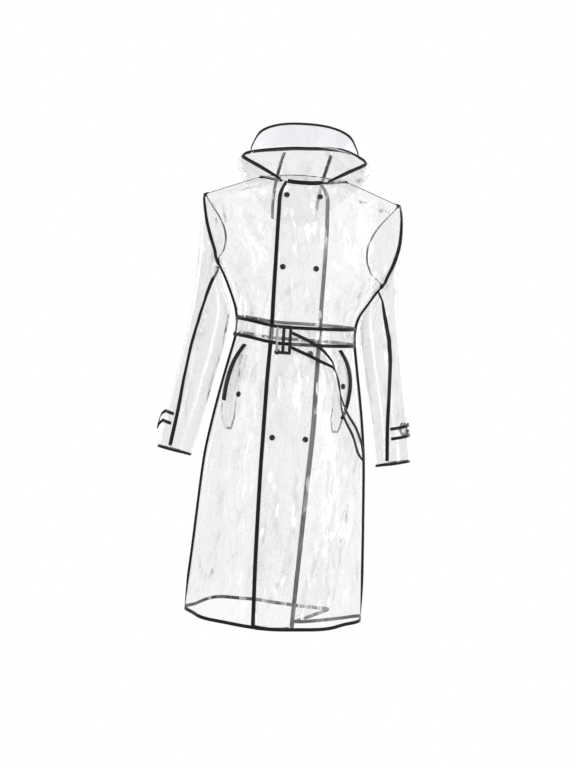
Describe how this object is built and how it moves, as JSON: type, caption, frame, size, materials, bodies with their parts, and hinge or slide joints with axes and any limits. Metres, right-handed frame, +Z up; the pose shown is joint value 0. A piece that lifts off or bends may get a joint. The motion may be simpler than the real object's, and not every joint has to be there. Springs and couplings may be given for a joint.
{
  "type": "clear hooded raincoat, belted, filled out as worn",
  "caption": "Knee-length double-breasted raincoat of clear film, with a hood and peak, black bound edges, belt, buckle and snaps, standing open as worn.",
  "frame": {"origin": "middle of the neck, at the height of the points where the shoulder seams meet the neckline", "axes": "+Z up along the coat's length, -Y out of its front, +X to the wearer's left"},
  "size_m": [0.6275, 0.356, 1.227],
  "materials": {
    "film": "colourless see-through film with a soft crinkle",
    "binding": "black folded tape, slightly glossy",
    "snap": "black lacquered cap",
    "buckle": "black moulded frame",
    "steel": "bright roller"
  },
  "bodies": {
    "root": {"armhole_tape_left": "binding", "armhole_tape_right": "binding", "back": "film", "belt": "film", "belt_end": "film", "belt_end_tape": "binding", "belt_tape_lower": "binding", "belt_tape_upper": "binding", "brim": "film", "brim_edge_tape": "binding", "buckle": "buckle", "buckle_roller": "steel", "cuff_strap_left": "film", "cuff_strap_left_tape": "binding", "cuff_strap_right": "film", "cuff_strap_right_tape": "binding", "cuff_tape_left": "binding", "cuff_tape_right": "binding", "front_outer": "film", "front_outer_edge_tape": "binding", "front_under": "film", "front_under_edge_tape": "binding", "hem_tape_back": "binding", "hem_tape_outer": "binding", "hem_tape_under": "binding", "hood_centre": "film", "hood_opening_tape": "binding", "hood_seam_tape_left": "binding", "hood_seam_tape_right": "binding", "hood_side_left": "film", "hood_side_right": "film", "neck_tape": "binding", "pocket_bag_left": "film", "pocket_bag_right": "film", "pocket_flap_left": "film", "pocket_flap_right": "film", "pocket_flap_tape_left": "binding", "pocket_flap_tape_right": "binding", "shoulder_seam_tape_left": "binding", "shoulder_seam_tape_right": "binding", "side_seam_tape_left": "binding", "side_seam_tape_right": "binding", "sleeve_left": "film", "sleeve_right": "film", "sleeve_seam_tape_left": "binding", "sleeve_seam_tape_right": "binding", "snap_cuff_left": "snap", "snap_left_1": "snap", "snap_left_2": "snap", "snap_left_3": "snap", "snap_left_4": "snap", "snap_pocket_left": "snap", "snap_pocket_right": "snap", "snap_right_1": "snap", "snap_right_2": "snap", "snap_right_3": "snap", "snap_right_4": "snap"}
  },
  "joints": []
}
